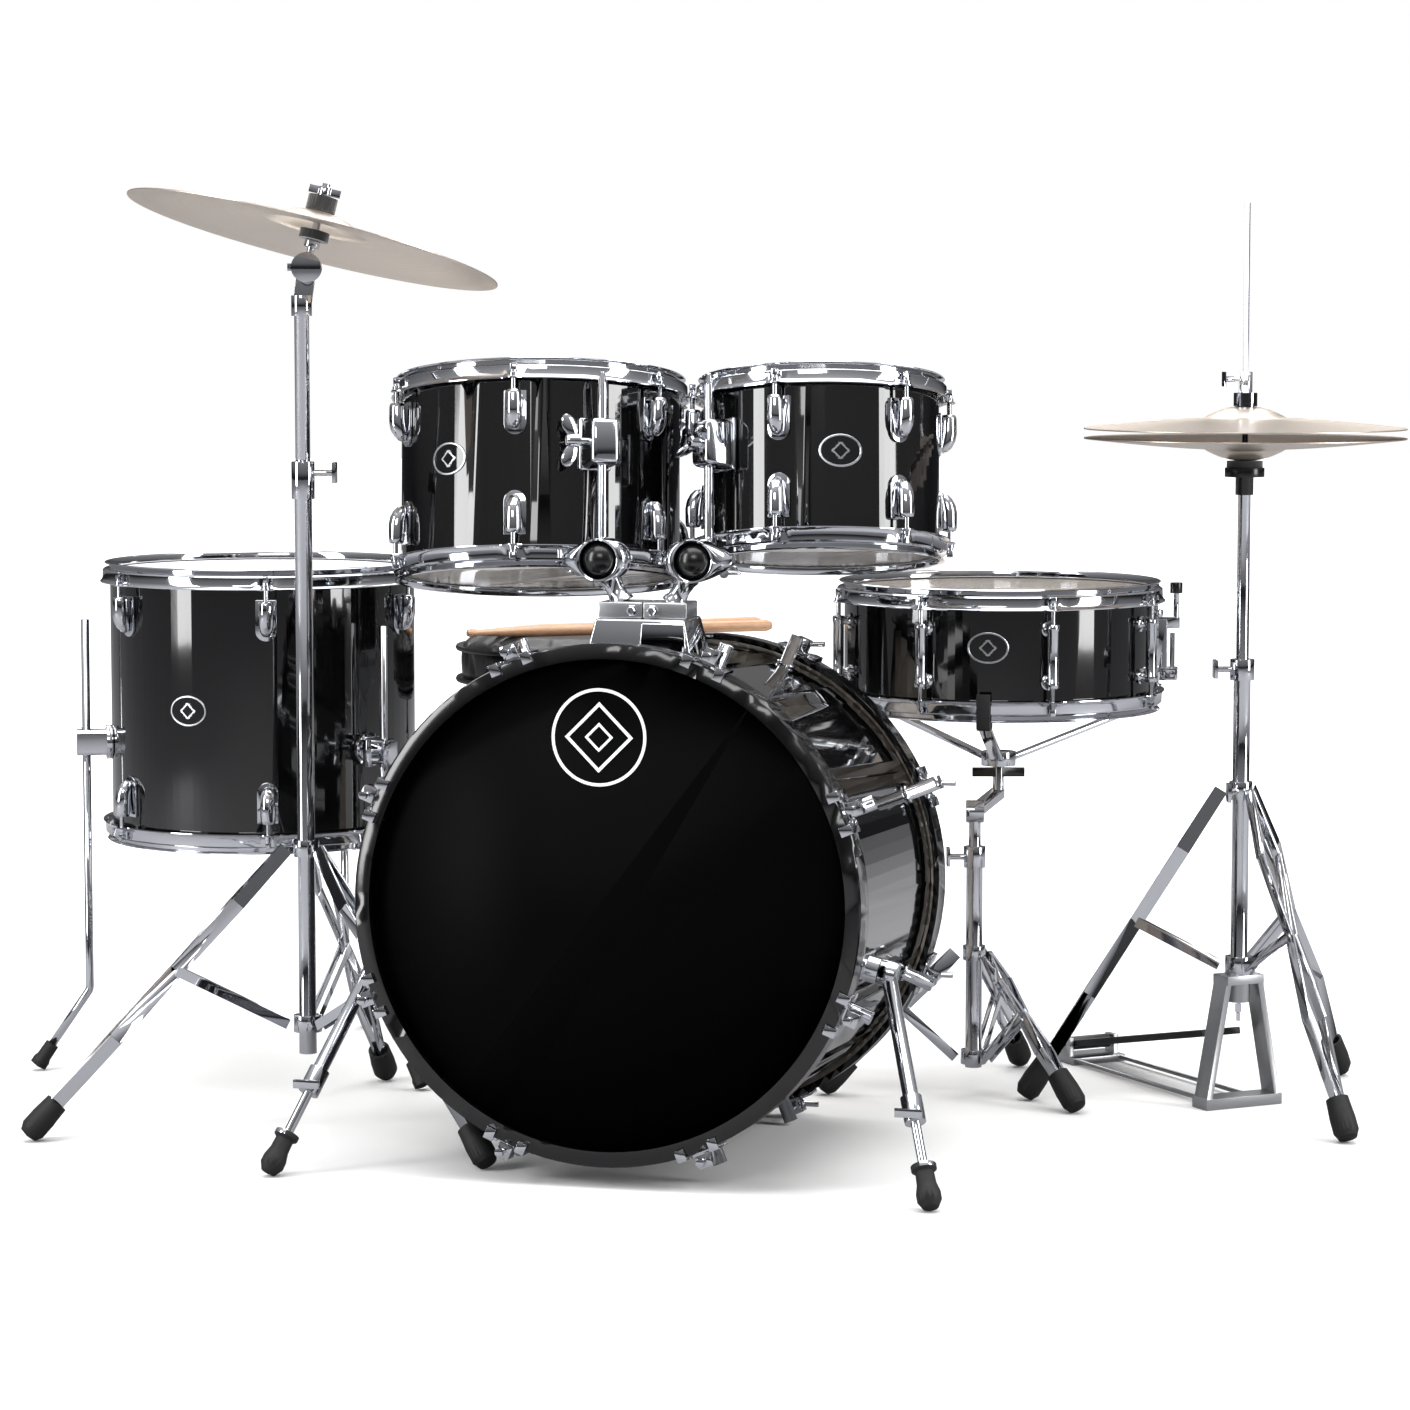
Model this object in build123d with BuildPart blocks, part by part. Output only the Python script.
from build123d import *
import math
import os

# Acoustic drum kit, millimetres. X runs to the right, Y towards the drummer, Z up, floor at z = 0.
# Each unit stands at its own station on the floor, and angles in plan are measured from the
# audience side (-Y), positive towards +X.

os.makedirs("parts", exist_ok=True)

# ---- drums ----
inch = 25.4
bass_diameter = 20 * inch
bass_length = 440.0
bass_station = (-94.7, -517.9)
bass_yaw = 14.4
bass_tilt = 2.8
left_tom_diameter = 12 * inch
left_tom_depth = 8 * inch
left_tom_centre = (-171.7, -129.9, 704.0)
right_tom_diameter = 10 * inch
right_tom_depth = 7 * inch
right_tom_centre = (134.3, -194.9, 717.0)
tom_tilt = 9.7
floor_tom_diameter = 14 * inch
floor_tom_depth = 12 * inch
floor_tom_station = (-512.1, 197.9)
floor_tom_height = 282.0
snare_diameter = 14 * inch
snare_depth = 5 * inch
snare_station = (346.3, 75.1)
snare_height = 445.0

# ---- shells, heads and rims ----
shell_wall = 6.0
head_film = 1.0
flesh_hoop = 5.0
rim_overhang = 8.0
rim_skirt = 9.0
rim_wall = 2.2
rod_offset = 14.0
rod_radius = 2.6
rod_clearance = 0.5
ear_radius = 8.0
lug_width = 19.0
lug_length = 42.0
lug_height = 19.5
lug_start = 26.0
gap = 0.4

# ---- bass drum hardware ----
bass_hoop_wall = 13.0
bass_hoop_depth = 38.0
bass_rabbet = 11.0
bass_lug_inset = 62.0
bass_lug_post = 7.5
claw_width = 46.0
claw_wall = 3.0
claw_rod_offset = 10.0
mount_setback = 174.5
ball_radius = 20.0
ball_spacing = 102.0
ball_height = 630.0
eye_thickness = 28.0
arm_radius = 5.2
spur_radius = 8.0
spur_angle = 104.0
spur_back = 102.0
spur_spread = 350.0
spur_forward = 45.0

# ---- stands ----
tube_radius = 9.5
upper_radius = 8.0
strip_width = 15.0
strip_thickness = 3.0
boot_radius = 14.0
boot_length = 46.0
boot_bore = 9.4
boot_socket = 26.0
leg_from = 22.0
crash_station = (-424.4, -215.3)
crash_reach = 309.9
crash_leg_angles = (-77.0, 43.0, 168.0)
crash_diameter = 16 * inch
crash_pivot = (-418.7, 936.0)
crash_lean = (13.5, 7.0)
hat_station = (606.7, -76.0)
hat_reach = 242.0
hat_leg_angles = (22.6, 142.6, 262.6)
hat_diameter = 14 * inch
hat_edge_height = 748.0
hat_gap = 12.0
pull_rod_radius = 3.2
pull_rod_top = 1008.0
snare_stand_station = (315.3, 10.1)
snare_stand_reach = 182.8
snare_leg_angles = (37.6, 157.6, 277.6)
basket_hub_height = 376.0
basket_tilter_height = 322.0
throne_station = (-141.7, 460.1)
throne_diameter = 318.0
throne_thickness = 68.0
throne_height = 490.0
throne_reach = 215.0


def write(piece, name):
    """Name a finished piece and write its file."""
    piece.part.label = name
    export_step(piece.part, f"parts/{name}.step")


def polar(station, angle, reach, height=0.0):
    """A point at a plan angle and distance from a station."""
    turn = math.radians(angle)
    return Vector(station[0] + reach * math.sin(turn), station[1] - reach * math.cos(turn), height)


def between(start, end, share):
    """The point at a share of the way from start to end."""
    return Vector(*start) + (Vector(*end) - Vector(*start)) * share


def bar(start, end, radius, bore=0.0):
    """A straight round bar or tube from start to end."""
    run = Vector(*end) - Vector(*start)
    with BuildPart() as piece:
        with BuildSketch(Plane(origin=start, z_dir=run)):
            Circle(radius)
            if bore:
                Circle(bore, mode=Mode.SUBTRACT)
        extrude(amount=run.length)
    return piece.part


def strip(start, end, width, thickness, across):
    """A flat steel strip from start to end, its width along the direction across."""
    run = Vector(*end) - Vector(*start)
    side = across - run * (across.dot(run) / run.dot(run))
    with BuildPart() as piece:
        with BuildSketch(Plane(origin=start, x_dir=side, z_dir=run)):
            Rectangle(width, thickness)
        extrude(amount=run.length)
    return piece.part


def turned(plane, outline):
    """A round piece turned about the plane's own Z axis, from (radius, height) points."""
    with BuildPart() as piece:
        with BuildSketch(Plane(origin=plane.origin, x_dir=plane.x_dir, z_dir=-plane.y_dir)):
            with BuildLine():
                Polyline(*outline, close=True)
            make_face()
        revolve(axis=Axis(plane.origin, plane.z_dir))
    return piece.part


def ring(plane, outer, inner, low, high):
    """A ring with square edges between two heights above the plane."""
    return turned(plane, [(inner, low), (outer, low), (outer, high), (inner, high)])


def disc(plane, radius, low, high):
    """A solid disc between two heights above the plane."""
    with BuildPart() as piece:
        with BuildSketch(plane.offset(low)):
            Circle(radius)
        extrude(amount=high - low)
    return piece.part


def point_on(plane, x, y, z):
    """A point given in a plane's own coordinates."""
    return plane.from_local_coords(Vector(x, y, z))


def facing(plane, angle, radius, height, up=1):
    """A plane on a drum's side: its Z points outwards, its Y along the drum's axis."""
    turn = math.radians(angle)
    out = plane.x_dir * math.sin(turn) - plane.y_dir * math.cos(turn)
    along = plane.x_dir * math.cos(turn) + plane.y_dir * math.sin(turn)
    origin = plane.origin + out * radius + plane.z_dir * height
    return Plane(origin=origin, x_dir=along * up, z_dir=out)


def planted(ground, run, outline):
    """A plane along a slanting leg, so that the turned foot with this outline stands on the floor."""
    lean = math.sqrt(1 - run.Z ** 2)
    drop = max(height * -run.Z + radius * lean for radius, height in outline)
    start = ground + run * (drop / run.Z)
    return Plane(origin=start, z_dir=run)


# ---- parts shared by the four small drums ----

def rim(plane, radius, side):
    """A triple-flanged steel rim; side is 1 above the plane, -1 below it."""
    wall = radius + 1.5
    outer = radius + flesh_hoop + 2.2
    outline = [(wall, 1.4), (wall, rim_overhang - 1.6), (wall + 5.5, rim_overhang - 1.6),
               (wall + 5.5, rim_overhang), (wall - rim_wall, rim_overhang), (wall - rim_wall, 1.4)]
    step = [(wall - rim_wall, 1.4), (outer + rim_wall, 1.4), (outer + rim_wall, -rim_skirt),
            (outer, -rim_skirt), (outer, 1.4 - 0.6), (wall - rim_wall, 1.4 - 0.6)]
    with BuildPart() as piece:
        add(turned(plane, [(r, h * side) for r, h in outline]))
        add(turned(plane, [(r, h * side) for r, h in step]))
    return piece.part


def ears(plane, radius, angles, side):
    """The tabs of a rim that the tension rods pass through."""
    with BuildPart() as piece:
        for angle in angles:
            seat = facing(plane, angle, radius + rod_offset, -rim_skirt * side)
            flat = Plane(origin=seat.origin, x_dir=seat.z_dir, z_dir=plane.z_dir)
            with BuildSketch(flat):
                Circle(ear_radius)
                Circle(rod_radius + rod_clearance, mode=Mode.SUBTRACT)
            extrude(amount=rim_wall * side)
    return piece.part


def rims(plane, radius, depth, angles):
    """Both rims of a drum, with the drilled ears that hold its tension rods."""
    hole = rod_radius + rod_clearance
    with BuildPart() as piece:
        for base, side in ((depth, 1), (0.0, -1)):
            edge = plane.offset(base)
            with BuildPart(mode=Mode.PRIVATE) as hoop:
                add(rim(edge, radius, side))
                add(ears(edge, radius, angles, side))
                for angle in angles:
                    seat = facing(edge, angle, radius + rod_offset, 0.0)
                    low = seat.origin - plane.z_dir * (side * (rim_skirt + 1))
                    high = seat.origin - plane.z_dir * (side * (rim_skirt - rim_wall - 1))
                    add(bar(low, high, hole), mode=Mode.SUBTRACT)
            add(hoop.part)
    return piece.part


def heads(plane, radius, depth):
    """The batter head at the top and the resonant head at the bottom, with their flesh hoops."""
    with BuildPart() as piece:
        for base, side in ((depth, 1), (0.0, -1)):
            edge = plane.offset(base)
            film = [(0, 0), (radius, 0), (radius + 0.6, 0), (radius + 0.6, -flesh_hoop),
                    (radius + flesh_hoop, -flesh_hoop), (radius + flesh_hoop, 0.5),
                    (radius - 2, 0.5), (radius - 3, head_film * 0.5), (0, head_film * 0.5)]
            add(turned(edge, [(r, h * side) for r, h in film]))
    return piece.part


def bullet_lug(seat, width, length, height):
    """A die-cast lug with a square rod end and a round far end, on a thin base plate."""
    with BuildPart() as piece:
        with BuildSketch(seat):
            with Locations((0, -width / 2 - 1)):
                Rectangle(width + 3, length - width / 2, align=(Align.CENTER, Align.MIN))
            with Locations((0, -width / 2)):
                Circle(width / 2 + 1.5)
        extrude(amount=3.0)
        with BuildSketch(seat.offset(3.0)):
            with Locations((0, -width / 2)):
                Rectangle(width, length - width / 2 - 3, align=(Align.CENTER, Align.MIN))
                Circle(width / 2)
        extrude(amount=height - 3.0)
        crown = piece.faces().sort_by(Axis(seat.origin, seat.z_dir))[-1]
        fillet(crown.edges(), radius=width * 0.28)
    return piece.part


def tension_rod(seat, tip, head, radius=rod_radius):
    """A tension rod from its lug to its key head, with a washer under the head."""
    axis = (head - tip).normalized()
    with BuildPart() as piece:
        add(bar(tip, head, radius))
        add(bar(head, head + axis * 2.0, radius + 1.8))
        with BuildSketch(Plane(origin=head + axis * 2.0, x_dir=seat.x_dir, z_dir=axis)):
            Rectangle(6.0, 6.0)
        extrude(amount=6.0)
    return piece.part


def drum(name, plane, diameter, depth, lug_angles):
    """Shell, rims, heads and the lugs with their tension rods for one double-headed drum."""
    radius = diameter / 2
    with BuildPart() as shell:
        add(ring(plane, radius, radius - shell_wall, 0.0, depth))
    write(shell, f"{name}_shell")
    with BuildPart() as hoops:
        add(rims(plane, radius, depth, lug_angles))
    write(hoops, f"{name}_hoops")
    with BuildPart() as skins:
        add(heads(plane, radius, depth))
    write(skins, f"{name}_heads")
    with BuildPart() as lugs:
        for base, side in ((depth, 1), (0.0, -1)):
            for angle in lug_angles:
                seat = facing(plane, angle, radius, base - side * lug_start, side)
                add(bullet_lug(Plane(origin=seat.origin - seat.y_dir * (lug_length - lug_width / 2),
                                     x_dir=seat.x_dir, z_dir=seat.z_dir),
                               lug_width, lug_length, lug_height))
                rod_foot = seat.origin + seat.z_dir * rod_offset - seat.y_dir * 4.0
                rod_head = seat.origin + seat.z_dir * rod_offset + seat.y_dir * (lug_start - rim_skirt + rim_wall)
                add(tension_rod(seat, rod_foot, rod_head))
    write(lugs, f"{name}_lugs")


# ---- bass drum ----

yaw = math.radians(bass_yaw)
tilt = math.radians(bass_tilt)
bass_radius = bass_diameter / 2
bass_hoop_radius = bass_radius + bass_hoop_wall
bass_front = Vector(-math.sin(yaw) * math.cos(tilt), -math.cos(yaw) * math.cos(tilt), math.sin(tilt))
bass_side = Vector(math.cos(yaw), -math.sin(yaw), 0)
bass_centre_height = bass_hoop_radius * math.cos(tilt) + bass_length * math.sin(tilt)
bass_origin = Vector(bass_station[0], bass_station[1], bass_centre_height)
# The bass drum's plane: Z runs from the audience end to the drummer's end, X to the right.
bass = Plane(origin=bass_origin, x_dir=bass_side, z_dir=-bass_front)
bass_up = -bass.y_dir


def around_bass(angle, radius, back):
    """A point at an angle clockwise from the top, seen from the audience, and a distance back."""
    turn = math.radians(angle)
    out = bass_up * math.cos(turn) + bass_side * math.sin(turn)
    return bass_origin + out * radius - bass_front * back


def bass_frame(angle, radius, back):
    """A plane on the bass drum: Z outwards, Y to the front, X along the hoop."""
    turn = math.radians(angle)
    out = bass_up * math.cos(turn) + bass_side * math.sin(turn)
    return Plane(origin=around_bass(angle, radius, back), x_dir=bass_front.cross(out), z_dir=out)


with BuildPart() as bass_shell:
    add(ring(bass, bass_radius, bass_radius - shell_wall, bass_rabbet + 2, bass_length - bass_rabbet - 2))
write(bass_shell, "bass_shell")

with BuildPart() as bass_hoops:
    for start, side in ((0.0, 1), (bass_length, -1)):
        lip = bass_radius - 3.0
        outline = [(lip, 0), (bass_hoop_radius - 2, 0), (bass_hoop_radius, 2),
                   (bass_hoop_radius, bass_hoop_depth), (bass_radius + 6.5, bass_hoop_depth),
                   (bass_radius + 6.5, bass_rabbet), (lip, bass_rabbet)]
        add(turned(bass.offset(start), [(r, h * side) for r, h in outline]))
write(bass_hoops, "bass_hoops")

for name, start, side in (("bass_front_head", 0.0, 1), ("bass_batter_head", bass_length, -1)):
    with BuildPart() as bass_head:
        low = bass_rabbet + gap / 2
        seat_edge = bass_rabbet + 2
        outline = [(0, low), (bass_radius + 5.8, low), (bass_radius + 5.8, low + 10),
                   (bass_radius + 0.6, low + 10), (bass_radius + 0.6, seat_edge), (0, seat_edge)]
        add(turned(bass.offset(start), [(r, h * side) for r, h in outline]))
    write(bass_head, name)

bass_lug_angles = [22.5 + 45 * k for k in range(8)]
with BuildPart() as bass_lugs:
    for angle in bass_lug_angles:
        for back in (bass_lug_inset, bass_length - bass_lug_inset):
            seat = bass_frame(angle, bass_radius, back)
            add(disc(seat, 11.0, 0.0, 3.0))
            add(disc(seat, bass_lug_post, 3.0, 34.0))
write(bass_lugs, "bass_lugs")

with BuildPart() as bass_claws:
    for angle in bass_lug_angles:
        for face, side in ((0.0, 1), (bass_length, -1)):
            seat = bass_frame(angle, bass_hoop_radius, face + side * bass_hoop_depth / 2)
            with BuildPart(mode=Mode.PRIVATE) as claw:
                with BuildSketch(seat.offset(gap)):
                    Rectangle(claw_width, bass_hoop_depth - 8)
                    Rectangle(claw_width - 26, bass_hoop_depth + 8, mode=Mode.SUBTRACT)
                    Rectangle(claw_width, bass_hoop_depth * 0.42)
                extrude(amount=claw_wall)
                for hand in (-1, 1):
                    foot = seat.origin + seat.x_dir * (hand * (claw_width / 2 - 5))
                    tip = foot + bass_front * (side * (bass_hoop_depth / 2 + claw_wall / 2 + gap))
                    arm = foot + seat.z_dir * (gap + claw_wall / 2)
                    add(strip(arm, arm + bass_front * (side * (bass_hoop_depth / 2 + gap + claw_wall)),
                              10.0, claw_wall, seat.x_dir))
                    add(strip(tip + seat.z_dir * (gap + claw_wall), tip - seat.z_dir * 9.0, 10.0,
                              claw_wall, seat.x_dir))
                with BuildSketch(seat.offset(gap + claw_wall)):
                    Rectangle(15.0, 20.0)
                extrude(amount=claw_rod_offset + 4.0)
            add(claw.part)
            out = bass_hoop_radius + claw_rod_offset
            tail = around_bass(angle, out, face + side * (bass_lug_inset - bass_lug_post - gap))
            nose = around_bass(angle, out, face - side * 2.0)
            add(bar(tail, nose, 3.0))
            add(bar(nose, nose + bass_front * (side * 7.0), 4.2))
            if side < 0:
                handle = nose - bass_front * 5.0
                add(bar(handle - bass_side * 19.0, handle + bass_side * 19.0, 3.2))
write(bass_claws, "bass_claws")

# ---- bass drum spurs ----

spur_seats = {hand: bass_frame(spur_angle * hand, bass_radius, spur_back) for hand in (-1, 1)}
with BuildPart() as spur_brackets:
    for seat in spur_seats.values():
        with BuildSketch(seat):
            RectangleRounded(34.0, 62.0, 8.0)
        extrude(amount=6.0)
        add(disc(seat, 14.0, 6.0, 20.0))
write(spur_brackets, "bass_spur_brackets")
spur_foot_outline = [(5.2, 0), (13.0, 0), (13.0, 5.0), (9.5, 8.0), (10.0, 20.0), (12.6, 30.0), (12.6, 38.0),
                     (8.0, 46.0), (0, 48.0), (0, 19.0), (5.2, 19.0)]
for name, hand in (("left", -1), ("right", 1)):
    # The leg leaves the pivot disc and runs down and forward to its rubber foot.
    seat = spur_seats[hand]
    pivot = seat.origin + seat.z_dir * 29.0
    ground = bass_origin + bass_side * (spur_spread * hand) + bass_front * spur_forward
    ground = Vector(ground.X, ground.Y, 0.0)
    run = (ground - pivot).normalized()
    foot_plane = planted(ground, run, spur_foot_outline)
    length = (foot_plane.origin - pivot).length + 18.0
    with BuildPart() as spur:
        add(disc(seat, 14.0, 20.0 + gap, 38.0))
        add(bar(pivot, pivot + run * (length * 0.66), spur_radius))
        add(bar(pivot + run * (length * 0.6), pivot + run * (length * 0.72), spur_radius + 3.0))
        add(bar(pivot + run * (length * 0.66), pivot + run * length, 5.0))
        wing = pivot + run * (length * 0.66)
        add(bar(wing, wing + bass_front * 24.0, 3.5))
        add(strip(wing + bass_front * 24.0 - bass_side * 14.0, wing + bass_front * 24.0 + bass_side * 14.0,
                  9.0, 3.0, Vector(0, 0, 1)))
    with BuildPart() as spur_foot:
        add(turned(foot_plane, spur_foot_outline))
    with BuildPart() as spur_group:
        add(spur.part)
        add(spur_foot.part)
    write(spur_group, f"spur_{name}")

# ---- tom mount on the bass shell ----

mount_base = bass_origin - bass_front * mount_setback
mount_seat = Vector(mount_base.X, mount_base.Y, 0)
mount = Plane(origin=mount_seat, x_dir=bass_side, z_dir=(0, 0, 1))
shell_top = mount_base.Z + bass_radius
balls = [point_on(mount, hand * ball_spacing / 2, 0, ball_height) for hand in (-1, 1)]
socket_radius = ball_radius + gap
socket_outline = [(0, -eye_thickness)]
for step in range(13):
    height = eye_thickness / 2 * (step - 6) / 6
    socket_outline.append((math.sqrt(socket_radius ** 2 - height ** 2), height))
socket_outline.insert(1, (socket_outline[1][0], -eye_thickness))
socket_outline.append((socket_outline[-1][0], eye_thickness))
socket_outline.append((0, eye_thickness))
with BuildPart() as tom_mount:
    with BuildSketch(mount.offset(shell_top - 6.0)):
        RectangleRounded(116.0, 84.0, 8.0)
    with BuildSketch(mount.offset(570.0)):
        RectangleRounded(96.0, 62.0, 8.0)
    loft()
    add(ring(bass, bass_radius + 0.2, bass_radius - 60.0, 60.0, 360.0), mode=Mode.SUBTRACT)
    with BuildSketch(mount.offset(570.0)):
        Rectangle(96.0, 40.0)
    extrude(amount=17.0)
    for hand, ball in zip((-1, 1), balls):
        foot = point_on(mount, hand * (ball_spacing / 2 - 18.0), 0, 586.0)
        eye = Plane(origin=ball, x_dir=bass_side * hand, z_dir=mount.y_dir * -hand)
        with BuildPart(mode=Mode.PRIVATE) as clamp_eye:
            with BuildSketch(eye):
                with BuildLine():
                    ThreePointArc((-27.0, 0.0), (-19.0, -19.0), (0.0, -26.0))
                    ThreePointArc((0.0, -26.0), (25.0, -18.0), (46.0, 0.0))
                    ThreePointArc((46.0, 0.0), (25.0, 18.0), (0.0, 26.0))
                    ThreePointArc((0.0, 26.0), (-19.0, 19.0), (-27.0, 0.0))
                make_face()
            extrude(amount=eye_thickness / 2, both=True)
            add(bar(foot, foot + Vector(0, 0, 26.0), 9.0))
            add(turned(Plane(origin=ball, x_dir=(0, 0, 1), z_dir=mount.y_dir), socket_outline),
                mode=Mode.SUBTRACT)
            with BuildSketch(eye):
                Rectangle(60.0, 1.6, align=(Align.MIN, Align.CENTER))
            extrude(amount=eye_thickness, both=True, mode=Mode.SUBTRACT)
        add(clamp_eye.part)
write(tom_mount, "tom_mount")

# ---- the two hanging toms ----

tom_lean = math.radians(tom_tilt)
tom_axis = Vector(0, math.sin(tom_lean), math.cos(tom_lean))
tom_arm_out = 24.0


def hung_tom(name, centre, diameter, depth, first_lug, ball, bracket_angle):
    """A tom on its L-shaped arm, with the bracket that clamps the arm to the shell."""
    base = Plane(origin=Vector(*centre) - tom_axis * (depth / 2), x_dir=(1, 0, 0), z_dir=tom_axis)
    drum(name, base, diameter, depth, [first_lug + 60 * k for k in range(6)])
    seat = facing(base, bracket_angle, diameter / 2, depth * 0.60)
    with BuildPart() as bracket:
        with BuildSketch(seat):
            RectangleRounded(44.0, 54.0, 8.0)
        extrude(amount=8.0)
        with BuildSketch(seat.offset(8.0)):
            RectangleRounded(30.0, 44.0, 5.0)
        extrude(amount=tom_arm_out + 2.0)
        knob = seat.origin + seat.z_dir * tom_arm_out
        add(bar(knob, knob - seat.x_dir * 30.0, 4.0))
        add(strip(knob - seat.x_dir * 30.0 - seat.y_dir * 20.0, knob - seat.x_dir * 30.0 + seat.y_dir * 20.0,
                  12.0, 5.0, seat.z_dir))
        add(bar(knob - tom_axis * 40.0, knob + tom_axis * 40.0, arm_radius + 0.08), mode=Mode.SUBTRACT)
    write(bracket, f"{name}_bracket")
    top = knob + tom_axis * 62.0
    elbow_share = (ball_height + 8.0 - knob.Z) / tom_axis.Z
    elbow = knob + tom_axis * elbow_share
    with BuildPart() as arm:
        with BuildLine():
            FilletPolyline(ball, elbow, top, radius=18.0)
        with BuildSketch(Plane(origin=ball, z_dir=elbow - ball)):
            Circle(arm_radius)
        sweep()
        add(turned(Plane(origin=top, x_dir=(1, 0, 0), z_dir=tom_axis),
                   [(0, 0), (arm_radius, 0), (2.2, 13.0), (0, 13.0)]))
        with Locations(Location(ball)):
            Sphere(ball_radius)
    write(arm, f"{name}_arm")


hung_tom("tom_left", left_tom_centre, left_tom_diameter, left_tom_depth, -68.0, balls[0], 23.8)
hung_tom("tom_right", right_tom_centre, right_tom_diameter, right_tom_depth, -22.0, balls[1], -53.8)

# ---- floor tom ----

floor_tom = Plane(origin=(*floor_tom_station, floor_tom_height), x_dir=(1, 0, 0), z_dir=(0, 0, 1))
drum("floor_tom", floor_tom, floor_tom_diameter, floor_tom_depth, [7 + 60 * k for k in range(6)])
leg_angles = (-78.5, 47.0, 158.1)
leg_out = 30.0
leg_bracket_height = 104.0
leg_radius = 4.8
leg_reach = 273.5
floor_foot_outline = [(5.0, 0), (8.0, 0), (8.5, 18.0), (10.0, 22.0), (10.0, 30.0), (0, 32.0), (0, 16.0),
                      (5.0, 16.0)]
leg_top_height = 530.0
leg_bend_height = 94.0
with BuildPart() as leg_brackets:
    for angle in leg_angles:
        seat = facing(floor_tom, angle, floor_tom_diameter / 2, leg_bracket_height)
        with BuildPart(mode=Mode.PRIVATE) as leg_bracket:
            with BuildSketch(seat):
                Circle(20.0)
            extrude(amount=7.0)
            with BuildSketch(seat.offset(7.0)):
                RectangleRounded(22.0, 30.0, 5.0)
            extrude(amount=leg_out + 4.0)
            middle = seat.origin + seat.z_dir * leg_out
            add(bar(middle, middle - seat.x_dir * 26.0, 3.5))
            add(strip(middle - seat.x_dir * 26.0 - seat.y_dir * 15.0,
                      middle - seat.x_dir * 26.0 + seat.y_dir * 15.0, 10.0, 4.0, seat.z_dir))
            add(bar(middle - Vector(0, 0, 40), middle + Vector(0, 0, 40), leg_radius + 0.08),
                mode=Mode.SUBTRACT)
        add(leg_bracket.part)
write(leg_brackets, "floor_tom_leg_brackets")
foot_planes = []
with BuildPart() as legs:
    for angle in leg_angles:
        reach = floor_tom_diameter / 2 + leg_out
        top = polar(floor_tom_station, angle, reach, leg_top_height)
        bend = polar(floor_tom_station, angle, reach, leg_bend_height)
        ground = polar(floor_tom_station, angle, leg_reach)
        run = (ground - bend).normalized()
        foot_plane = planted(ground, run, floor_foot_outline)
        foot_planes.append(foot_plane)
        foot = foot_plane.origin + run * 15.0
        with BuildPart(mode=Mode.PRIVATE) as leg:
            with BuildLine():
                FilletPolyline(top, bend, foot, radius=14.0)
            with BuildSketch(Plane(origin=top, z_dir=(0, 0, -1))):
                Circle(leg_radius)
            sweep()
        add(leg.part)
write(legs, "floor_tom_legs")

# ---- snare drum ----

snare = Plane(origin=(*snare_station, snare_height), x_dir=(1, 0, 0), z_dir=(0, 0, 1))
snare_radius = snare_diameter / 2
snare_lug_angles = [-76 + 45 * k for k in range(8)]
snare_lug_inset = 34.0
with BuildPart() as snare_shell:
    add(ring(snare, snare_radius, snare_radius - shell_wall, 0.0, snare_depth))
write(snare_shell, "snare_shell")
with BuildPart() as snare_hoops:
    add(rims(snare, snare_radius, snare_depth, snare_lug_angles))
write(snare_hoops, "snare_hoops")
with BuildPart() as snare_heads:
    add(heads(snare, snare_radius, snare_depth))
write(snare_heads, "snare_heads")
with BuildPart() as snare_lugs:
    for angle in snare_lug_angles:
        for height in (snare_lug_inset, snare_depth - snare_lug_inset):
            post = facing(snare, angle, snare_radius, height)
            add(disc(post, 7.0, 0.0, 3.0))
            add(disc(post, 4.5, 3.0, rod_offset))
        low = facing(snare, angle, snare_radius + rod_offset, 28.0).origin
        high = low + Vector(0, 0, snare_depth - 56.0)
        add(bar(low, high, 6.0))
        for base, side in ((snare_depth, 1), (0.0, -1)):
            seat = facing(snare, angle, snare_radius + rod_offset, base - side * 30.0, side)
            add(tension_rod(seat, seat.origin, seat.origin + seat.y_dir * (30.0 - rim_skirt + rim_wall)))
write(snare_lugs, "snare_lugs")

throw_angle = 81.5
throw_seat = facing(snare, throw_angle, snare_radius, snare_depth / 2)
throw_pivot = throw_seat.origin + throw_seat.z_dir * 20.0 + throw_seat.y_dir * -32.0
with BuildPart() as strainer:
    with BuildSketch(throw_seat):
        Rectangle(26.0, 74.0)
    extrude(amount=4.0)
    with BuildSketch(throw_seat.offset(4.0)):
        Rectangle(20.0, 60.0)
    extrude(amount=10.0)
    for hand in (-1, 1):
        cheek = throw_pivot + throw_seat.x_dir * (hand * 11.0)
        add(strip(cheek - throw_seat.z_dir * 14.0, cheek + throw_seat.z_dir * 6.0, 14.0, 3.0,
                  throw_seat.y_dir))
    screw = throw_seat.origin + throw_seat.z_dir * 24.0 + throw_seat.y_dir * 26.0
    add(strip(screw - throw_seat.z_dir * 20.0, screw + throw_seat.z_dir * 4.0, 14.0, 12.0, throw_seat.x_dir))
    add(bar(screw, screw + throw_seat.y_dir * 34.0, 3.0))
    add(bar(screw + throw_seat.y_dir * 34.0, screw + throw_seat.y_dir * 46.0, 7.0))
    add(bar(throw_pivot - throw_seat.x_dir * 20.0, throw_pivot + throw_seat.x_dir * 20.0, 3.05),
        mode=Mode.SUBTRACT)
write(strainer, "snare_strainer")
with BuildPart() as lever:
    add(bar(throw_pivot - throw_seat.x_dir * 15.0, throw_pivot + throw_seat.x_dir * 15.0, 3.0))
    add(strip(throw_pivot - throw_seat.y_dir * 5.0, throw_pivot + throw_seat.y_dir * 46.0, 17.0, 5.0,
              throw_seat.x_dir))
write(lever, "snare_lever")
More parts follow.
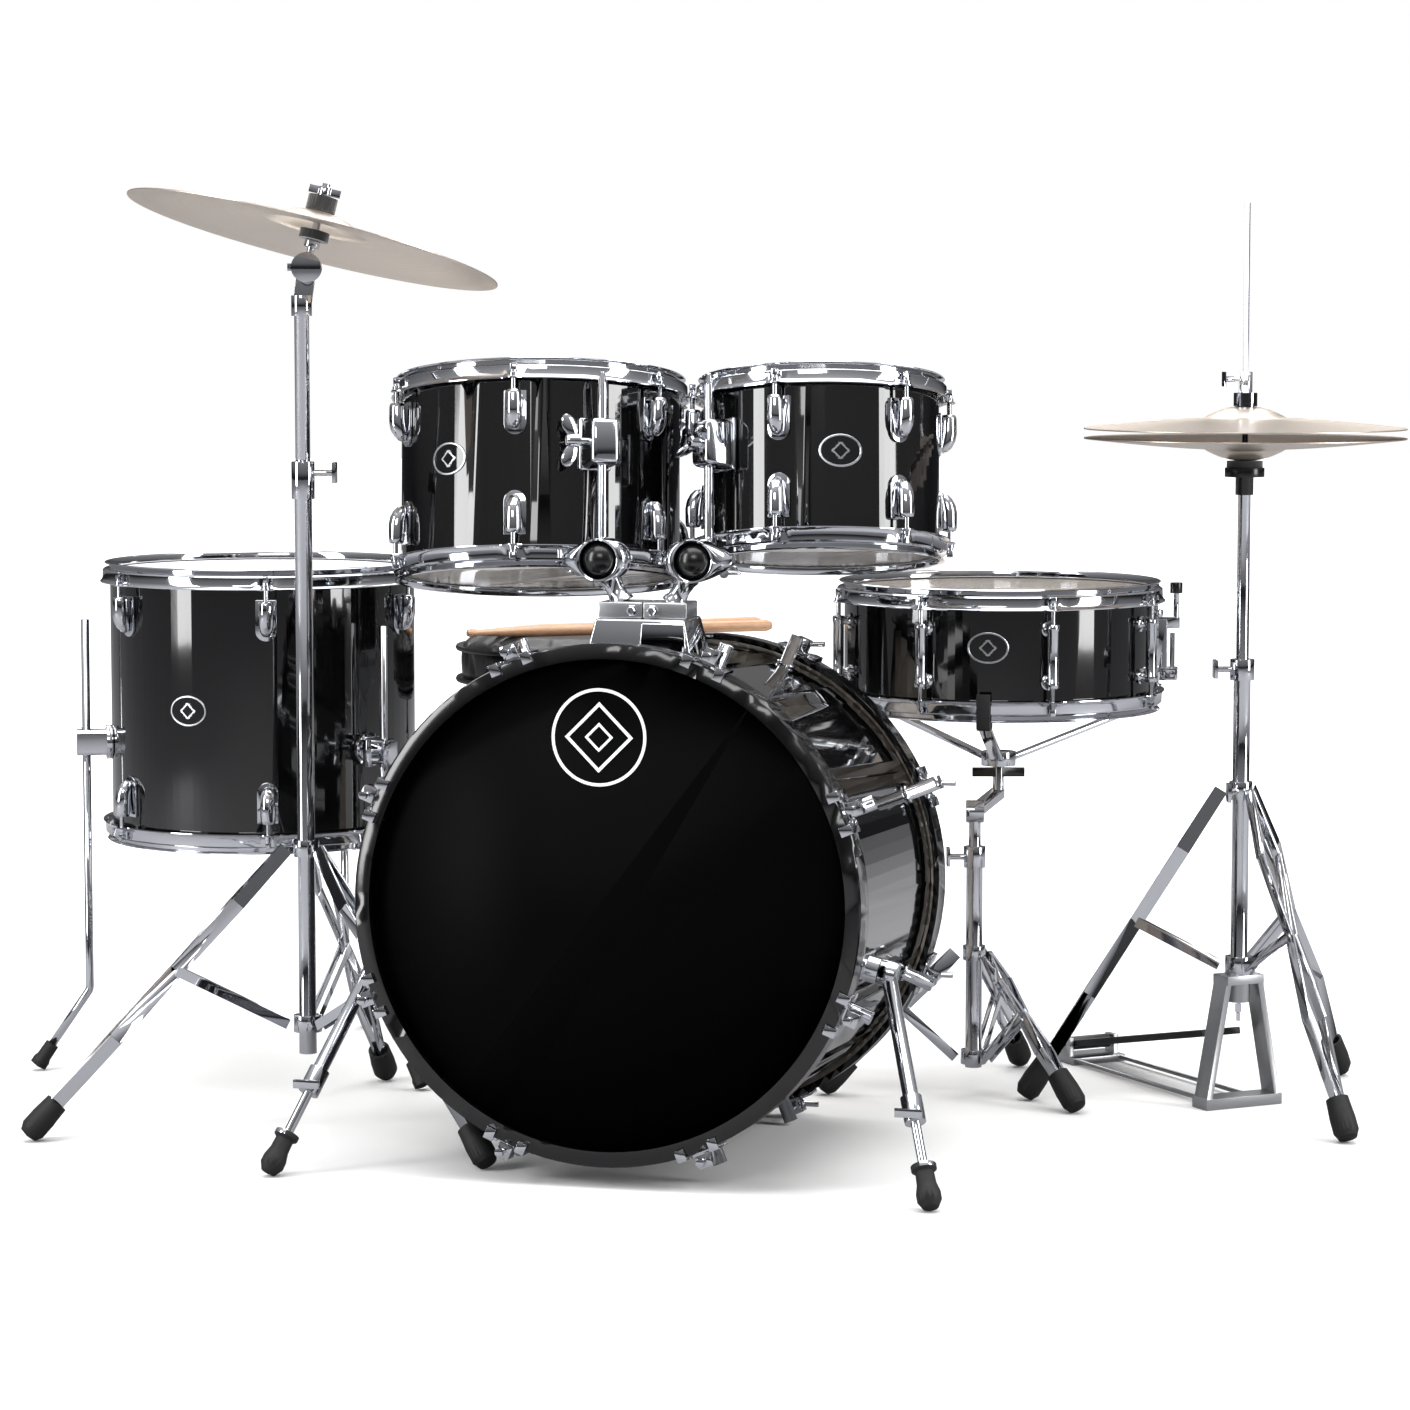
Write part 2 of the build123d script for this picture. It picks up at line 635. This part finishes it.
with BuildPart() as wires:
    across = facing(snare, throw_angle, 1.0, 0.0).z_dir
    side_dir = across.cross(Vector(0, 0, 1))
    below = snare.origin - Vector(0, 0, 3.2)
    for k in range(10):
        lane = below + side_dir * (-18.0 + 4.0 * k)
        add(bar(lane - across * 118.0, lane + across * 118.0, 1.0))
    for hand in (-1, 1):
        end = below + across * (hand * 124.0)
        add(strip(end - side_dir * 22.0, end + side_dir * 22.0, 14.0, 1.6, across))
write(wires, "snare_wires")

# ---- tripods shared by the three stands ----

boot_outline = [(boot_bore, 0), (boot_bore + 3.0, 0), (boot_radius, 22.0), (boot_radius, 38.0),
                (boot_radius - 4.0, boot_length), (0, boot_length + 2.0), (0, boot_socket),
                (boot_bore, boot_socket)]


def leg_line(station, angle, reach, height):
    """The top of a stand's leg, its direction and the plane of the boot at its end."""
    top = polar(station, angle, leg_from, height)
    ground = polar(station, angle, reach)
    run = (ground - top).normalized()
    return top, run, planted(ground, run, boot_outline)


def tripod(station, angles, reach, spread_height, brace_height, half_gap):
    """Double-strip legs with double-strip braces between the leg's elbow and the lower collar."""
    with BuildPart() as piece:
        for angle in angles:
            turn = math.radians(angle)
            out = Vector(math.sin(turn), -math.cos(turn), 0)
            aside = Vector(out.Y, -out.X, 0)
            top, run, boot_plane = leg_line(station, angle, reach, spread_height)
            toe = boot_plane.origin + run * (boot_socket - 1.0)
            elbow = between(top, toe, 0.45)
            collar = polar(station, angle, leg_from, brace_height)
            for hand in (-1, 1):
                near = aside * (hand * (strip_thickness + gap) / 2)
                wide = aside * (hand * half_gap)
                shift = aside * (hand * (strip_thickness * 1.5 + gap))
                knots = [top + near, between(top, toe, 0.2) + wide, elbow + near,
                         between(top, toe, 0.7) + wide, toe + near]
                for start, end in zip(knots, knots[1:]):
                    add(strip(start, end, strip_width, strip_thickness, out))
                add(strip(collar + shift, elbow + shift, 11.0, 2.0, out))
    return piece.part


crash_top = 309.0
crash_low = 117.0
with BuildPart() as crash_lower_tube:
    base = Plane(origin=(*crash_station, 0), x_dir=(1, 0, 0), z_dir=(0, 0, 1))
    add(ring(base, tube_radius, tube_radius - 1.4, 84.0, 712.0))
    add(ring(base, 14.0, tube_radius, crash_top - 9.0, crash_top + 9.0))
    add(ring(base, 15.5, tube_radius, crash_low - 9.0, crash_low + 9.0))
    add(ring(base, 12.5, upper_radius + 0.3, 688.0, 728.0))
    clamp = Vector(*crash_station, 716.0)
    add(bar(clamp + Vector(12.0, 0, 0), clamp + Vector(34.0, 0, 0), 3.5))
    add(strip(clamp + Vector(34.0, 0, -11.0), clamp + Vector(34.0, 0, 11.0), 26.0, 4.0, Vector(0, 1, 0)))
    add(ring(base, upper_radius + 0.25, upper_radius - 0.2, 690.0, 730.0), mode=Mode.SUBTRACT)
write(crash_lower_tube, "crash_lower_tube")
with BuildPart() as crash_upper_tube:
    add(ring(base, upper_radius, upper_radius - 1.4, 560.0, 898.0))
    add(disc(base, 11.0, 884.0, 906.0))
    head_low = Vector(*crash_station, 905.0)
    head_high = Vector(crash_pivot[0], crash_station[1], crash_pivot[1])
    add(strip(head_low + Vector(0, 11, -6), head_high + Vector(0, 11, 4), 20.0, 6.0, Vector(1, 0, 0)))
    add(strip(head_low + Vector(0, 6, -6), head_low + Vector(0, 13.5, -6), 18.0, 8.0, Vector(1, 0, 0)))
write(crash_upper_tube, "crash_upper_tube")

lean_x = math.radians(crash_lean[0])
lean_y = math.radians(crash_lean[1])
crash_axis = Vector(math.tan(lean_x), math.tan(lean_y), 1.0).normalized()
pivot_point = Vector(crash_pivot[0], crash_station[1], crash_pivot[1])
stem = Plane(origin=pivot_point, x_dir=Vector(0, 1, 0).cross(crash_axis), z_dir=crash_axis)
with BuildPart() as crash_tilter:
    with BuildSketch(Plane(origin=pivot_point + Vector(0, 7.4, 0), x_dir=(1, 0, 0), z_dir=(0, -1, 0))):
        Circle(16.0)
    extrude(amount=16.0)
    add(bar(pivot_point + crash_axis * 10.0, pivot_point + crash_axis * 92.0, 4.0))
    add(disc(stem, 8.5, 22.0, 30.0))
    wing = pivot_point + Vector(-20.0, -4.0, 0)
    add(strip(wing, pivot_point + Vector(-10, -4.0, 0), 8.0, 6.0, Vector(0, 0, 1)))
    add(disc(stem, 7.0, 78.0, 88.0))
    nut = pivot_point + crash_axis * 84.0
    add(strip(nut - stem.x_dir * 17.0, nut + stem.x_dir * 17.0, 8.0, 3.5, crash_axis))
write(crash_tilter, "crash_tilter")
with BuildPart() as crash_felts:
    add(ring(stem, 16.0, 4.4, 30.0 + 0.2, 40.0))
    add(ring(stem, 16.0, 4.4, 62.0, 77.6))
write(crash_felts, "crash_felts")


def cymbal_outline(diameter, bell_radius, bow, bell_height, thickness, hole):
    """Half section of a cymbal from its hole to its edge, heights above the edge plane."""
    outline = []
    for step in range(9):
        share = step / 8
        radius = hole + (bell_radius - hole) * share
        outline.append((radius, bow + bell_height * math.cos(share * math.pi / 2) ** 0.9))
    for step in range(1, 9):
        share = step / 8
        radius = bell_radius + (diameter / 2 - bell_radius) * share
        outline.append((radius, bow * (1 - share ** 1.35)))
    lower = [(radius, height - thickness) for radius, height in reversed(outline)]
    return outline + lower


crash_bow = 14.0
crash_bell_radius = 55.0
crash_bell = 17.0
crash_edge = 61.4 - crash_bow - crash_bell
with BuildPart() as crash_cymbal:
    add(turned(stem.offset(crash_edge), cymbal_outline(crash_diameter, crash_bell_radius, crash_bow, crash_bell, 1.4, 6.0)))
write(crash_cymbal, "crash_cymbal")
with BuildPart() as crash_legs:
    add(tripod(crash_station, crash_leg_angles, crash_reach, crash_top, crash_low, 9.0))
write(crash_legs, "crash_legs")

# ---- snare stand ----

stand = Plane(origin=(*snare_stand_station, 0), x_dir=(1, 0, 0), z_dir=(0, 0, 1))
stand_top = 160.0
stand_low = 40.0
hub = Vector(snare_station[0], snare_station[1], basket_hub_height)
tilter_point = Vector(*snare_stand_station, basket_tilter_height)
with BuildPart() as snare_stand_tubes:
    add(disc(stand, tube_radius, 28.0, 270.0))
    add(ring(stand, 13.0, tube_radius - 0.5, stand_top - 8.0, stand_top + 8.0))
    add(ring(stand, 14.5, tube_radius - 0.5, stand_low - 8.0, stand_low + 8.0))
    add(disc(stand, 12.5, 258.0, 282.0))
    add(disc(stand, 7.0, 280.0, 318.0))
    clamp = Vector(*snare_stand_station, 270.0)
    add(bar(clamp, clamp + Vector(-30.0, 0, 0), 3.5))
    add(strip(clamp + Vector(-30.0, 0, -10), clamp + Vector(-30.0, 0, 10), 22.0, 4.0, Vector(0, 1, 0)))
    add(bar(tilter_point - Vector(10, 0, 0), tilter_point + Vector(10, 0, 0), 13.0))
    knee = Vector(hub.X, hub.Y, hub.Z - 40.0)
    add(strip(tilter_point, knee, 16.0, 10.0, Vector(1, 0, 0)))
    add(bar(knee, Vector(hub.X, hub.Y, hub.Z - 8.0), 6.5))
    add(strip(Vector(hub.X - 30, hub.Y, hub.Z - 16), Vector(hub.X + 30, hub.Y, hub.Z - 16), 10.0, 10.0,
              Vector(0, 1, 0)))
write(snare_stand_tubes, "snare_stand_tubes")
basket_angles = (-9.0, 111.0, 231.0)
basket_arm_width = 14.0
with BuildPart() as basket:
    add(bar(Vector(hub.X, hub.Y, hub.Z - 8.0), Vector(hub.X, hub.Y, hub.Z + 8.0), 20.0))
    for angle in basket_angles:
        low = polar(snare_station, angle, 16.0, hub.Z)
        rest = polar(snare_station, angle, snare_radius + 4.0, snare_height - rim_overhang - 7.0)
        add(strip(low, rest, basket_arm_width, 5.0, Vector(0, 0, 1).cross(rest - low)))
with BuildPart() as grips:
    for angle in basket_angles:
        heel = polar(snare_station, angle, snare_radius + 17.5, snare_height - rim_overhang - 12.0)
        inner = polar(snare_station, angle, snare_radius - 16.0, snare_height - rim_overhang - 12.0)
        add(strip(inner + Vector(0, 0, 6.2), heel + Vector(0, 0, 6.2), 15.0, 9.0, (heel - inner).cross(Vector(0, 0, 1))))
        add(strip(heel + Vector(0, 0, 4.0), heel + Vector(0, 0, 42.0), 15.0, 8.0, (heel - inner).cross(Vector(0, 0, 1))))
    add(basket.part, mode=Mode.SUBTRACT)
with BuildPart() as basket_group:
    add(basket.part)
    add(grips.part)
write(basket_group, "snare_stand_basket")
with BuildPart() as snare_stand_legs:
    add(tripod(snare_stand_station, snare_leg_angles, snare_stand_reach, stand_top, stand_low, 6.5))
write(snare_stand_legs, "snare_stand_legs")

# ---- hi-hat ----

hat = Plane(origin=(*hat_station, 0), x_dir=(1, 0, 0), z_dir=(0, 0, 1))
hat_top = 356.0
hat_low = 159.0
cup_top = 716.0
hat_upper_radius = 7.0
with BuildPart() as hihat_tubes:
    add(ring(hat, tube_radius, tube_radius - 1.6, 118.0, 480.0))
    add(ring(hat, hat_upper_radius, 5.6, 440.0, 690.0))
    add(ring(hat, 13.5, hat_upper_radius, 480.0, 503.0))
    add(ring(hat, 13.0, tube_radius, hat_top - 10.0, hat_top + 10.0))
    add(ring(hat, 15.5, tube_radius, hat_low - 10.0, hat_low + 10.0))
    add(ring(hat, 10.0, 5.6, 686.0, 706.0))
    add(ring(hat, 22.0, 5.6, 706.0, cup_top))
    for height, aim in ((492.0, Vector(-1, 0, 0)), (hat_top, Vector(-0.55, -0.835, 0))):
        knob = Vector(*hat_station, height)
        add(bar(knob + aim * 12.0, knob + aim * 30.0, 3.5))
        add(strip(knob + aim * 30.0 - Vector(0, 0, 10), knob + aim * 30.0 + Vector(0, 0, 10), 22.0, 4.0,
                  Vector(0, 1, 0)))
    add(ring(hat, 7.2, 6.0, 481.0, 500.0), mode=Mode.SUBTRACT)
write(hihat_tubes, "hihat_tubes")
with BuildPart() as hihat_legs:
    add(tripod(hat_station, hat_leg_angles, hat_reach, hat_top, hat_low, 10.0))
write(hihat_legs, "hihat_legs")

hat_bow = 11.0
hat_bell_radius = 46.0
hat_bell = 13.0
hat_thickness = 1.3
with BuildPart() as hihat_bottom_cymbal:
    lower = [(r, -h) for r, h in cymbal_outline(hat_diameter, hat_bell_radius, hat_bow, hat_bell, hat_thickness, 6.5)]
    add(turned(hat.offset(hat_edge_height), lower))
write(hihat_bottom_cymbal, "hihat_bottom_cymbal")
hat_upper_edge = hat_edge_height + hat_gap
with BuildPart() as hihat_top_cymbal:
    upper = cymbal_outline(hat_diameter, hat_bell_radius, hat_bow, hat_bell, hat_thickness, 5.5)
    add(turned(hat.offset(hat_upper_edge), upper))
write(hihat_top_cymbal, "hihat_top_cymbal")
cup_felt_top = hat_edge_height - hat_bow - hat_bell - gap
bell_top = hat_upper_edge + hat_bow + hat_bell
with BuildPart() as hihat_seat_felt:
    add(ring(hat, 20.0, 5.6, cup_top, cup_felt_top))
write(hihat_seat_felt, "hihat_seat_felt")
with BuildPart() as hihat_pull_rod:
    add(disc(hat, pull_rod_radius, 150.0, pull_rod_top))
    add(ring(hat, 7.5, pull_rod_radius, bell_top + 15.0, bell_top + 38.0))
    knob = Vector(*hat_station, bell_top + 30.0)
    add(bar(knob + Vector(-6, 0, 0), knob + Vector(-24, 0, 0), 3.0))
    add(strip(knob + Vector(-24, 0, -8), knob + Vector(-24, 0, 8), 16.0, 3.0, Vector(0, 1, 0)))
    add(ring(hat, 4.6, pull_rod_radius, bell_top - 14.0, bell_top + 15.0))
    add(ring(hat, 9.0, pull_rod_radius, bell_top - 19.0, bell_top - 14.0))
    add(ring(hat, 13.0, 4.7, bell_top + 0.2, bell_top + 14.8))
    for k in range(5):
        link = Vector(*hat_station, 96.0 + 10.0 * k)
        add(strip(link, link + Vector(0, 0, 9.0), 7.0, 4.0, Vector(k % 2, 1 - k % 2, 0)))
write(hihat_pull_rod, "hihat_pull_rod")

# The base casting stands on the floor; the footboard is hinged at a heel plate on its left.
pedal_dir = Vector(-0.442, 0.897, 0).normalized()
heel_point = Vector(hat_station[0], hat_station[1], 0) + pedal_dir * 318.0
pedal_side = pedal_dir.cross(Vector(0, 0, 1))
with BuildPart() as hihat_base:
    for hand in (-1, 1):
        foot = Vector(*hat_station, 5.0) + pedal_side * (hand * 46.0)
        head = Vector(*hat_station, 146.0) + pedal_side * (hand * 20.0)
        add(strip(foot, head, 26.0, 7.0, pedal_dir))
    add(strip(Vector(*hat_station, 6.0) - pedal_side * 50.0, Vector(*hat_station, 6.0) + pedal_side * 50.0,
              30.0, 12.0, pedal_dir))
    add(strip(Vector(*hat_station, 144.0) - pedal_side * 24.0, Vector(*hat_station, 144.0) + pedal_side * 24.0,
              30.0, 10.0, pedal_dir))
    add(disc(hat, 13.0, 118.0, 149.0))
    add(disc(hat, tube_radius, 118.0, 152.0), mode=Mode.SUBTRACT)
    for hand in (-1, 1):
        lane = pedal_side * (hand * 30.0)
        add(bar(Vector(*hat_station, 5.0) + lane, heel_point + lane + Vector(0, 0, 5.0), 2.5))
    plate = heel_point + Vector(0, 0, 4.0)
    add(strip(plate - pedal_side * 36.0, plate + pedal_side * 36.0, 46.0, 8.0, pedal_dir))
    for hand in (-1, 1):
        cheek = heel_point + pedal_side * (hand * 31.0)
        add(strip(cheek + Vector(0, 0, 4), cheek + Vector(0, 0, 30.0), 20.0, 6.0, pedal_dir))
    hinge_axis = heel_point + Vector(0, 0, 22.0)
    add(bar(hinge_axis - pedal_side * 40.0, hinge_axis + pedal_side * 40.0, 3.05), mode=Mode.SUBTRACT)
write(hihat_base, "hihat_base")
toe_point = Vector(*hat_station, 78.0) + pedal_dir * 34.0
with BuildPart() as hihat_footboard:
    add(bar(hinge_axis - pedal_side * 34.0, hinge_axis + pedal_side * 34.0, 3.0))
    add(strip(hinge_axis - pedal_dir * 4.0, toe_point, 52.0, 8.0, pedal_side))
    add(bar(hinge_axis - pedal_side * 26.0, hinge_axis + pedal_side * 26.0, 8.0))
write(hihat_footboard, "hihat_footboard")

# ---- throne ----

throne = Plane(origin=(*throne_station, 0), x_dir=(1, 0, 0), z_dir=(0, 0, 1))
seat_low = throne_height - throne_thickness
with BuildPart() as throne_seat:
    add(disc(throne, throne_diameter / 2, seat_low, throne_height))
    fillet(throne_seat.edges().filter_by(GeomType.CIRCLE).sort_by(Axis.Z)[-1:], radius=18.0)
    fillet(throne_seat.edges().filter_by(GeomType.CIRCLE).sort_by(Axis.Z)[:1], radius=6.0)
write(throne_seat, "throne_seat")
with BuildPart() as throne_spindle:
    add(disc(throne, 130.0, seat_low - 8.0, seat_low - gap))
    add(disc(throne, 9.0, 250.0, seat_low - 8.0))
write(throne_spindle, "throne_spindle")
throne_foot_outline = [(8.2, 0), (12.0, 0), (13.0, 20.0), (9.0, 30.0), (0, 32.0), (0, 14.0), (8.2, 14.0)]
throne_feet = []
with BuildPart() as throne_base:
    add(ring(throne, 13.0, 9.1, 120.0, seat_low - 60.0))
    add(ring(throne, 13.0, 9.1, 120.0, 240.0))
    for k in range(3):
        angle = 30.0 + 120 * k
        top = polar(throne_station, angle, 19.0, 300.0)
        ground = polar(throne_station, angle, throne_reach)
        run = (ground - top).normalized()
        foot_plane = planted(ground, run, throne_foot_outline)
        throne_feet.append(foot_plane)
        add(bar(top, foot_plane.origin + run * 13.0, 8.0))
        add(bar(polar(throne_station, angle, 14.0, 150.0), between(top, ground, 0.55), 5.0))
    add(disc(throne, 9.1, 120.0, seat_low), mode=Mode.SUBTRACT)
write(throne_base, "throne_base")

# ---- rubber feet of the stands, the floor tom and the throne ----

stations = ((crash_station, crash_leg_angles, crash_reach, crash_top),
            (hat_station, hat_leg_angles, hat_reach, hat_top),
            (snare_stand_station, snare_leg_angles, snare_stand_reach, stand_top))
with BuildPart() as rubber_feet:
    for station, angles, reach, height in stations:
        for angle in angles:
            boot_plane = leg_line(station, angle, reach, height)[2]
            add(turned(boot_plane, boot_outline))
    for foot_plane in throne_feet:
        add(turned(foot_plane, throne_foot_outline))
    for foot_plane in foot_planes:
        add(turned(foot_plane, floor_foot_outline))
write(rubber_feet, "rubber_feet")

# ---- drumsticks on the seat ----

with BuildPart() as drumsticks:
    for shift, swing in ((-9.0, 0.0), (9.0, 5.0)):
        tip = Vector(throne_station[0] - 140.0, throne_station[1] - 95.0 + shift, throne_height + 8.0)
        aim = Vector(math.cos(math.radians(20.0 + swing)), math.sin(math.radians(20.0 + swing)), 0)
        stick = Plane(origin=tip, x_dir=(0, 0, 1), z_dir=aim)
        add(turned(stick, [(0, 0), (3.4, 1.0), (4.6, 6.0), (3.0, 14.0), (7.2, 90.0), (7.2, 390.0),
                           (5.0, 396.0), (0, 396.0)]))
write(drumsticks, "drumsticks")

# ---- bass drum pedal at the batter side ----

pedal_out = -bass_front
pedal_flat = Vector(pedal_out.X, pedal_out.Y, 0).normalized()
rear_foot = bass_origin - bass_front * bass_length
rear_foot = Vector(rear_foot.X, rear_foot.Y, 0.0)
post_base = rear_foot + pedal_flat * 62.0
axle_height = 190.0
pedal_heel = post_base + pedal_flat * 238.0
with BuildPart() as pedal_frame:
    add(strip(rear_foot + pedal_flat * 14.0 + Vector(0, 0, 2), pedal_heel + Vector(0, 0, 2), 62.0, 4.0, bass_side))
    for hand in (-1, 1):
        post = post_base + bass_side * (hand * 44.0)
        add(strip(post + Vector(0, 0, 2), post + Vector(0, 0, axle_height + 12.0), 20.0, 8.0, pedal_flat))
        add(strip(post_base + Vector(0, 0, 3), post + Vector(0, 0, 3), 20.0, 6.0, pedal_flat))
        cheek = pedal_heel + bass_side * (hand * 27.0) - pedal_flat * 10.0
        add(strip(cheek + Vector(0, 0, 3), cheek + Vector(0, 0, 24), 16.0, 5.0, pedal_flat))
    axle = post_base + Vector(0, 0, axle_height)
    heel_axis = pedal_heel - pedal_flat * 10.0 + Vector(0, 0, 16.0)
    add(bar(axle - bass_side * 60.0, axle + bass_side * 60.0, 5.05), mode=Mode.SUBTRACT)
    add(bar(heel_axis - bass_side * 40.0, heel_axis + bass_side * 40.0, 2.55), mode=Mode.SUBTRACT)
write(pedal_frame, "pedal_frame")
with BuildPart() as pedal_footboard:
    add(bar(heel_axis - bass_side * 29.5, heel_axis + bass_side * 29.5, 2.5))
    add(strip(heel_axis + pedal_flat * 4.0, post_base + pedal_flat * 22.0 + Vector(0, 0, 84.0), 48.0, 7.0,
              bass_side))
write(pedal_footboard, "pedal_footboard")
beater_lean = Vector(0, 0, 1) * 0.9 + pedal_flat * 0.38
with BuildPart() as pedal_beater:
    add(bar(axle - bass_side * 48.0, axle + bass_side * 48.0, 5.0))
    tip = axle + beater_lean.normalized() * 150.0
    add(bar(axle, tip, 3.2))
    add(bar(tip - pedal_flat * 16.0, tip + pedal_flat * 16.0, 17.0))
    add(bar(axle - bass_side * 9.0, axle + bass_side * 9.0, 14.0))
write(pedal_beater, "pedal_beater")
